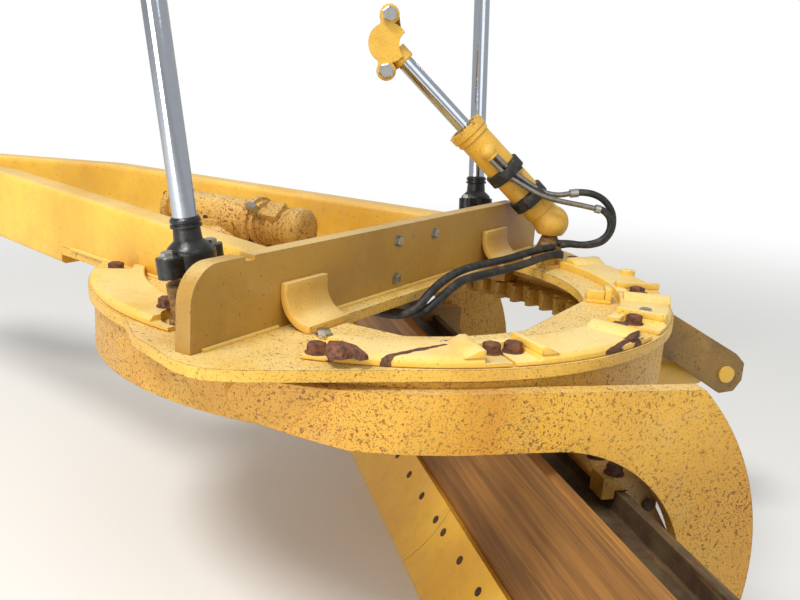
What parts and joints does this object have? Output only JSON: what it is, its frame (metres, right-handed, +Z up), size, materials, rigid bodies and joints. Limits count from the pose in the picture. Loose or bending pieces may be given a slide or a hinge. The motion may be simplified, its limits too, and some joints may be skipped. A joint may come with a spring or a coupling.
{
  "type": "grader drawbar, circle and moldboard assembly",
  "caption": "Blade group of a motor grader: A-shaped drawbar with yoke plate, turning circle with arms, tilting side-shift moldboard and their hydraulic cylinders.",
  "frame": {"origin": "centre of the drawbar's front ball", "axes": "+X forward, +Y to the machine's left, +Z up"},
  "size_m": [4.1469, 2.7686, 2.8594],
  "materials": {
    "yellow_paint": "warm yellow paint, worn and speckled with rust",
    "worn_steel": "machined steel, greased",
    "bronze": "wear bronze",
    "chrome": "hard chromed rod",
    "black_paint": "black paint, chipped",
    "rusty_steel": "scoured steel with thin rust"
  },
  "bodies": {
    "drawbar": {"beam_left": "yellow_paint", "beam_right": "yellow_paint", "drawbar_neck": "yellow_paint", "drawbar_ball": "worn_steel", "yoke_plate": "yellow_paint", "cross_plate": "yellow_paint", "hose_guards": "yellow_paint", "rim_covers": "yellow_paint", "cover_lugs": "yellow_paint", "wear_ring": "bronze", "circle_shoes": "yellow_paint", "gear_housing": "yellow_paint", "drive_motor": "yellow_paint", "lift_studs": "worn_steel", "shift_stud": "worn_steel", "hose_post": "yellow_paint"},
    "circle": {"circle_ring": "yellow_paint", "arm_left": "yellow_paint", "arm_right": "yellow_paint", "tip_lug": "yellow_paint"},
    "pinion": {"drive_pinion": "worn_steel"},
    "tip_frame": {"tip_bracket_left": "yellow_paint", "tip_bracket_right": "yellow_paint", "tip_crossbar": "yellow_paint", "slide_inserts": "bronze", "side_shift_barrel": "yellow_paint"},
    "blade": {"moldboard": "rusty_steel", "blade_rails": "yellow_paint", "cutting_edges": "yellow_paint", "end_bits": "yellow_paint", "side_shift_rod": "chrome"},
    "tip_cylinder": {"tip_barrel": "yellow_paint"},
    "tip_cylinder_rod": {"tip_rod": "chrome"},
    "lift_left": {"lift_rod_left": "chrome", "lift_socket_left": "black_paint"},
    "lift_left_barrel": {"lift_barrel_left": "yellow_paint"},
    "lift_right": {"lift_rod_right": "chrome", "lift_socket_right": "black_paint"},
    "lift_right_barrel": {"lift_barrel_right": "yellow_paint"},
    "centre_shift": {"shift_barrel": "yellow_paint"},
    "centre_shift_rod": {"shift_rod": "chrome", "shift_cap": "yellow_paint"}
  },
  "joints": [
    {"name": "circle_turn", "type": "hinge", "parent": "drawbar", "child": "circle", "pos_m": [-2.45, 0, -0.06], "axis": [0, 0, 1], "continuous": true},
    {"name": "pinion_turn", "type": "hinge", "parent": "drawbar", "child": "pinion", "pos_m": [-1.9, 0, -0.06], "axis": [0, 0, 1], "continuous": true},
    {"name": "blade_tip", "type": "hinge", "parent": "circle", "child": "tip_frame", "pos_m": [-2.85659, -0.40659, -0.7], "axis": [-0.7071, 0.7071, 0], "range_deg": [-5, 40]},
    {"name": "blade_side_shift", "type": "slide", "parent": "tip_frame", "child": "blade", "axis": [-0.7071, 0.7071, 0], "range_m": [-0.81, 0.36]},
    {"name": "tip_cylinder_swing", "type": "hinge", "parent": "circle", "child": "tip_cylinder", "pos_m": [-3.2066, -0.7566, -0.323], "axis": [-0.7071, 0.7071, 0], "range_deg": [-2, 7.4]},
    {"name": "tip_cylinder_stroke", "type": "slide", "parent": "tip_cylinder", "child": "tip_cylinder_rod", "axis": [0.7055, 0.7055, -0.0671], "range_m": [-0.0299, 0.2254]},
    {"name": "lift_swing_left", "type": "hinge", "parent": "drawbar", "child": "lift_left", "pos_m": [-2.38, 0.69, 0.085], "axis": [1, 0, 0], "range_deg": [-12, 12]},
    {"name": "lift_stroke_left", "type": "slide", "parent": "lift_left", "child": "lift_left_barrel", "axis": [0.1088, 0.0989, 0.9891], "range_m": [-0.598, 0.472]},
    {"name": "lift_swing_right", "type": "hinge", "parent": "drawbar", "child": "lift_right", "pos_m": [-2.38, -0.69, 0.085], "axis": [-1, 0, 0], "range_deg": [-12, 12]},
    {"name": "lift_stroke_right", "type": "slide", "parent": "lift_right", "child": "lift_right_barrel", "axis": [0.1088, -0.0989, 0.9891], "range_m": [-0.598, 0.472]},
    {"name": "centre_shift_swing", "type": "hinge", "parent": "drawbar", "child": "centre_shift", "pos_m": [-2.67, -0.66, 0.066], "axis": [-0.739, 0, 0.6737], "range_deg": [-8, 8]},
    {"name": "centre_shift_stroke", "type": "slide", "parent": "centre_shift", "child": "centre_shift_rod", "axis": [0.6187, 0.3959, 0.6786], "range_m": [-0.26, 0.03]}
  ],
  "couplings": [
    {"joint": "pinion_turn", "follows": "circle_turn", "ratio": 6},
    {"joint": "tip_cylinder_swing", "follows": "blade_tip", "ratio": 0.172},
    {"joint": "tip_cylinder_stroke", "follows": "blade_tip", "m_per_rad": 0.32}
  ]
}
